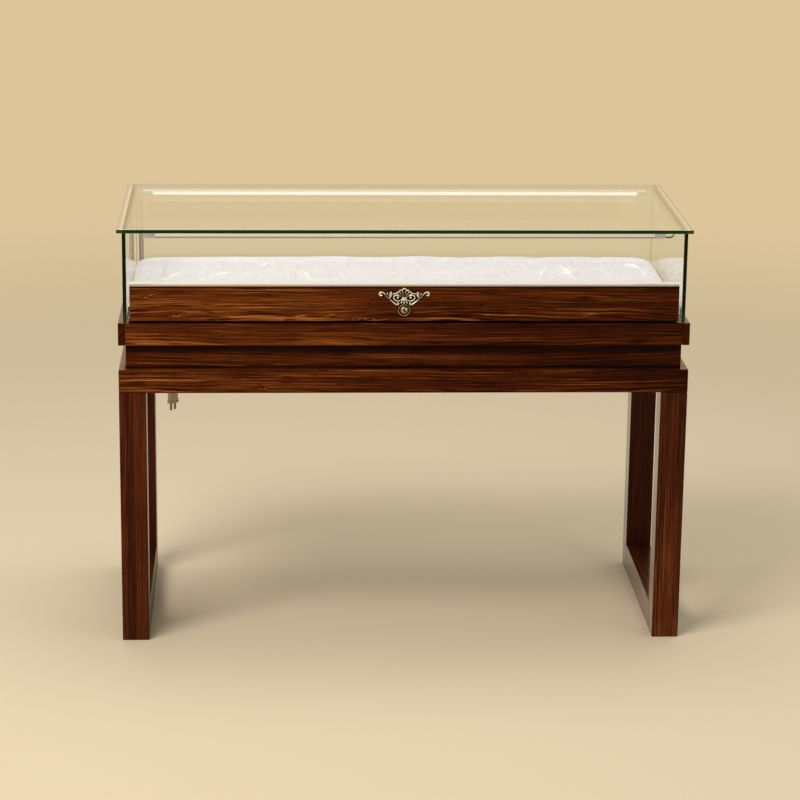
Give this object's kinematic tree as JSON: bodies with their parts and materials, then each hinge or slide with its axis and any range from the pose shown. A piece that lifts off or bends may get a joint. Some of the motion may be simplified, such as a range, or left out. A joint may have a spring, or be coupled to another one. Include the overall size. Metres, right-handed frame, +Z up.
{
  "type": "jewelry display case",
  "caption": "Dark-stained wooden jewelry display case on legs with a glass top and sides, a lockable cloth-lined drawer under the glass, lights and a hanging plug",
  "frame": {"origin": "on the floor, under the middle of the case", "axes": "+X along the case to the right as seen from the drawer side, +Y from the drawer side to the rear pane, +Z up"},
  "size_m": [1.2, 0.5, 0.9],
  "materials": {
    "stained_wood": "dark red-brown stain under satin lacquer",
    "deck_board": "unfinished plywood",
    "clear_glass": "clear float glass, ground edges",
    "aluminium": "pale paint",
    "diffuser": "milky",
    "grey_cap": "moulded",
    "wire_jacket": "extruded jacket",
    "white_duct": "extruded",
    "driver_shell": "moulded",
    "slide_steel": "zinc plated",
    "bronze": "antique bronze, rubbed bright on top",
    "lock_brass": "dull polish",
    "satin": "white satin, creased",
    "cord_jacket": "grey flexible jacket",
    "plug_shell": "moulded grey",
    "pin_brass": "plain"
  },
  "bodies": {
    "root": {"leg_front_left": "stained_wood", "leg_front_right": "stained_wood", "leg_rear_left": "stained_wood", "leg_rear_right": "stained_wood", "runner_left": "stained_wood", "runner_right": "stained_wood", "lower_rail_front": "stained_wood", "lower_rail_rear": "stained_wood", "lower_rail_left": "stained_wood", "lower_rail_right": "stained_wood", "neck_front": "stained_wood", "neck_rear": "stained_wood", "neck_left": "stained_wood", "neck_right": "stained_wood", "cap_front": "stained_wood", "cap_rear": "stained_wood", "cap_left": "stained_wood", "cap_right": "stained_wood", "base_board": "deck_board", "glass_top": "clear_glass", "glass_left": "clear_glass", "glass_right": "clear_glass", "glass_back": "clear_glass", "glass_front": "clear_glass", "led_channel_front": "aluminium", "led_channel_back": "aluminium", "led_lens_front": "diffuser", "led_lens_back": "diffuser", "led_end_front_left": "grey_cap", "led_end_front_right": "grey_cap", "led_end_back_left": "grey_cap", "led_end_back_right": "grey_cap", "led_link_wire": "wire_jacket", "cord_tie": "wire_jacket", "wire_duct": "white_duct", "led_driver": "driver_shell", "slide_fixed_left": "slide_steel", "slide_fixed_right": "slide_steel", "lock_strike": "slide_steel", "cord_gland": "cord_jacket", "cord_lead": "cord_jacket", "cord_coil": "cord_jacket", "cord_tail": "cord_jacket", "plug_body": "plug_shell", "plug_pin_left": "pin_brass", "plug_pin_right": "pin_brass"},
    "drawer": {"drawer_front": "stained_wood", "drawer_deck": "deck_board", "drawer_side_left": "deck_board", "drawer_side_right": "deck_board", "drawer_back": "deck_board", "display_cloth": "satin", "escutcheon": "bronze", "lock_housing": "lock_brass", "slide_drawer_left": "slide_steel", "slide_drawer_right": "slide_steel"},
    "slide_middle_left": {"slide_middle_left": "slide_steel"},
    "slide_middle_right": {"slide_middle_right": "slide_steel"},
    "lock_core": {"lock_plug": "lock_brass", "lock_cam": "slide_steel"}
  },
  "joints": [
    {"name": "drawer_slide", "type": "slide", "parent": "root", "child": "drawer", "axis": [0, -1, 0], "range_m": [0, 0.34]},
    {"name": "slide_middle_left_travel", "type": "slide", "parent": "root", "child": "slide_middle_left", "axis": [0, -1, 0], "range_m": [0, 0.17]},
    {"name": "slide_middle_right_travel", "type": "slide", "parent": "root", "child": "slide_middle_right", "axis": [0, -1, 0], "range_m": [0, 0.17]},
    {"name": "lock_turn", "type": "hinge", "parent": "drawer", "child": "lock_core", "pos_m": [-0.003, -0.246, 0.7285], "axis": [0, 1, 0], "range_deg": [0, 90]}
  ],
  "couplings": [
    {"joint": "slide_middle_left_travel", "follows": "drawer_slide", "ratio": 0.5},
    {"joint": "slide_middle_right_travel", "follows": "drawer_slide", "ratio": 0.5}
  ]
}
